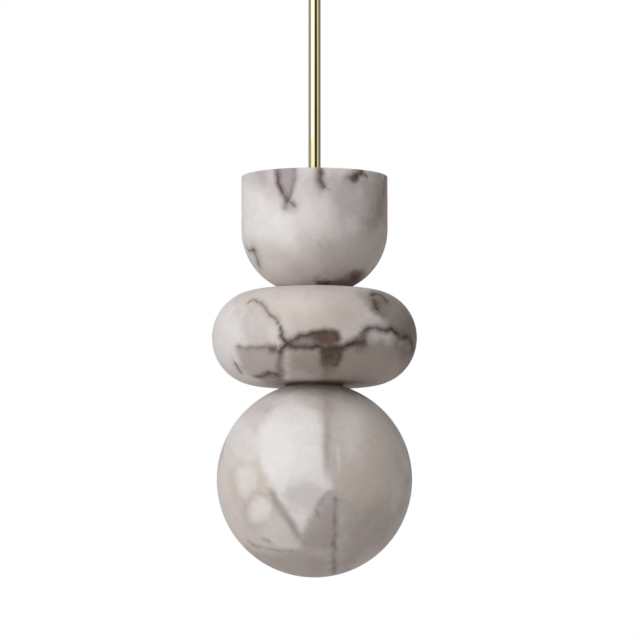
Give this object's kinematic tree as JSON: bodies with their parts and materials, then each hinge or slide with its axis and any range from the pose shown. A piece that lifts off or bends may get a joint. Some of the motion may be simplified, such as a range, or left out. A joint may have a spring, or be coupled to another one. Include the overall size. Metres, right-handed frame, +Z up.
{
  "type": "alabaster pendant light",
  "caption": "Pendant light with a stone bowl, disc and ball stacked on a brass stem that hangs from a turning and tilting swivel under a round canopy.",
  "frame": {"origin": "centre of the ceiling plane, midway between the two ceiling screw slots of the strap", "axes": "+Z up into the ceiling, the light hangs towards -Z; +X along the mounting strap; +Y towards the driver"},
  "size_m": [0.2004, 0.2004, 0.6898],
  "materials": {
    "steel": "zinc plated, satin",
    "brass": "polished",
    "stem_brass": "polished",
    "brass_small": "polished",
    "driver_case": "moulded",
    "foam": "soft foam tape",
    "block_plastic": "moulded",
    "tinned": "tin plated",
    "core_brown": "extruded",
    "core_green": "extruded",
    "lead_white": "extruded",
    "alabaster_bowl": "turned and honed alabaster",
    "alabaster_disc": "turned and honed alabaster",
    "alabaster_ball": "turned and honed alabaster",
    "rubber": "silicone sheet",
    "opal": "opal, extruded",
    "aluminium": "extruded",
    "board": "white solder mask",
    "plate_dark": "turned, unlacquered"
  },
  "bodies": {
    "ceiling_mount": {"mounting_strap": "steel", "canopy": "brass", "canopy_side_screws": "brass_small", "ceiling_nipple": "steel", "strap_nuts": "steel", "led_driver": "driver_case", "driver_tape": "foam", "terminal_block": "block_plastic", "terminal_pole_screws": "steel", "terminal_fixing_screw": "steel", "earth_ring_terminal": "tinned", "earth_screw": "steel", "mains_cores": "core_brown", "earth_core": "core_green", "driver_lead": "lead_white", "hub_washer": "brass_small", "turn_stop_pin": "steel", "swivel_hub": "brass_small"},
    "swivel": {"swivel_cap": "brass", "swivel_yoke": "brass", "pivot_screws": "brass_small"},
    "stem": {"stem_knuckle": "brass", "stem_tube": "stem_brass", "threaded_pipe": "steel", "bowl_lead": "lead_white", "disc_lead": "lead_white", "ball_lead": "lead_white", "alabaster_bowl": "alabaster_bowl", "clamp_washer": "steel", "floor_gasket": "rubber", "clamp_nut": "steel", "opal_sleeve": "opal", "sleeve_end_covers": "brass", "bowl_heat_sink": "aluminium", "bowl_led_boards": "board", "bowl_engine_nuts": "steel", "disc_heat_sink": "aluminium", "disc_led_boards": "board", "disc_engine_nuts": "steel", "ball_heat_sink": "aluminium", "ball_led_boards": "board", "ball_engine_nuts": "steel", "ball_end_board": "board", "upper_joint_plate": "plate_dark", "upper_joint_gaskets": "rubber", "lower_joint_plate": "plate_dark", "lower_joint_gaskets": "rubber", "alabaster_disc": "alabaster_disc", "alabaster_ball": "alabaster_ball", "toggle_plate": "steel", "toggle_pads": "rubber", "toggle_nuts": "steel"}
  },
  "joints": [
    {"name": "swivel_turn", "type": "hinge", "parent": "ceiling_mount", "child": "swivel", "pos_m": [0, 0, -0.0416], "axis": [0, 0, 1], "range_deg": [-165, 165]},
    {"name": "swivel_tilt", "type": "hinge", "parent": "swivel", "child": "stem", "pos_m": [0, 0, -0.0597], "axis": [1, 0, 0], "range_deg": [-45, 45]}
  ]
}
